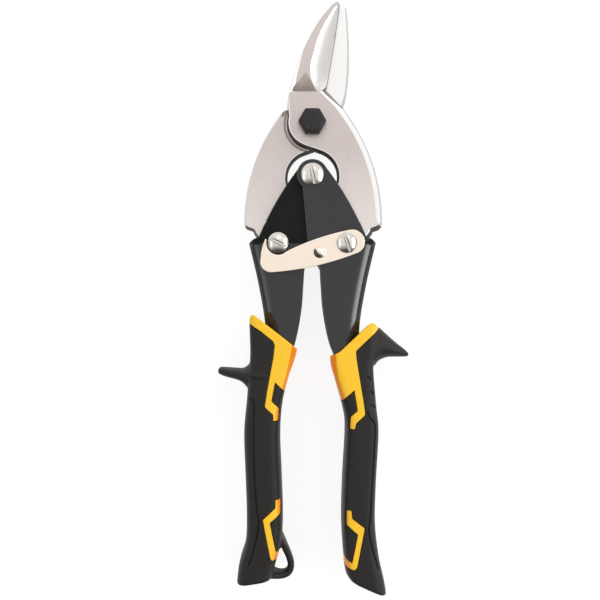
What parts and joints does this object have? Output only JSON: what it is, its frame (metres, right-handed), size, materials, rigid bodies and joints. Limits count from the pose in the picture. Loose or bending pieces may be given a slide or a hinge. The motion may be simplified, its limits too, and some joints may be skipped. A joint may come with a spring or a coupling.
{
  "type": "aviation snips",
  "caption": "Sheet metal hand shears: crossed hollow-ground blades on a hex bolt, driven by pivoted channel handles through compound levers, with a swinging latch and yellow and black grips.",
  "frame": {"origin": "centre of the tool's plan box, on the plane that the backs of the grips rest on", "axes": "+Y along the tool towards the tips of the jaws, +Z out of the front face with the latch, +X to the right seen from the front"},
  "size_m": [0.0794, 0.247, 0.0247],
  "materials": {
    "satin_steel": "satin forged steel, ground bevels",
    "spring_steel": "drawn wire",
    "bright_nickel": "bright nickel plate on steel",
    "black_oxide": "black oxide on steel",
    "black_coating": "satin black coating on pressed steel",
    "yellow_moulding": "moulded, satin",
    "black_rubber": "moulded soft cover, matt"
  },
  "bodies": {
    "right_handle": {"right_channel": "black_coating", "right_grip_sleeve": "yellow_moulding", "right_grip_cover": "black_rubber", "handle_pivot_screw": "bright_nickel", "handle_pivot_sleeve": "bright_nickel", "handle_pivot_nut": "bright_nickel", "right_pivot_screw": "bright_nickel", "right_pivot_nut": "bright_nickel", "right_pivot_front_spacer": "bright_nickel", "right_pivot_rear_spacer": "bright_nickel", "opening_spring": "spring_steel"},
    "left_handle": {"left_channel": "black_coating", "left_grip_sleeve": "yellow_moulding", "left_grip_cover": "black_rubber", "left_pivot_screw": "bright_nickel", "left_pivot_nut": "bright_nickel", "left_pivot_front_spacer": "bright_nickel", "left_pivot_rear_spacer": "bright_nickel"},
    "front_blade": {"front_blade": "satin_steel", "main_pivot_bolt": "black_oxide", "main_pivot_nut": "black_oxide"},
    "rear_blade": {"rear_blade": "satin_steel"},
    "latch": {"latch": "bright_nickel"}
  },
  "joints": [
    {"name": "handles_open", "type": "hinge", "parent": "right_handle", "child": "left_handle", "pos_m": [-0.00045, 0.04965, 0.01155], "axis": [0, 0, -1], "range_deg": [0, 34.5], "deforming": ["opening_spring"]},
    {"name": "front_blade_turns", "type": "hinge", "parent": "right_handle", "child": "front_blade", "pos_m": [0.0136, 0.02145, 0.01155], "axis": [0, 0, -1], "range_deg": [0, 8.2]},
    {"name": "jaws_open", "type": "hinge", "parent": "front_blade", "child": "rear_blade", "pos_m": [-0.00045, 0.07205, 0.01155], "axis": [0, 0, -1], "range_deg": [0, 18.25]},
    {"name": "latch_swings", "type": "hinge", "parent": "right_handle", "child": "latch", "pos_m": [0.0136, 0.02145, 0.01155], "axis": [0, 0, 1], "range_deg": [0, 60.5]}
  ],
  "couplings": [
    {"joint": "front_blade_turns", "follows": "handles_open", "ratio": 0.2361},
    {"joint": "jaws_open", "follows": "handles_open", "ratio": 0.5278},
    {"joint": "latch_swings", "follows": "handles_open", "ratio": 1.75}
  ]
}
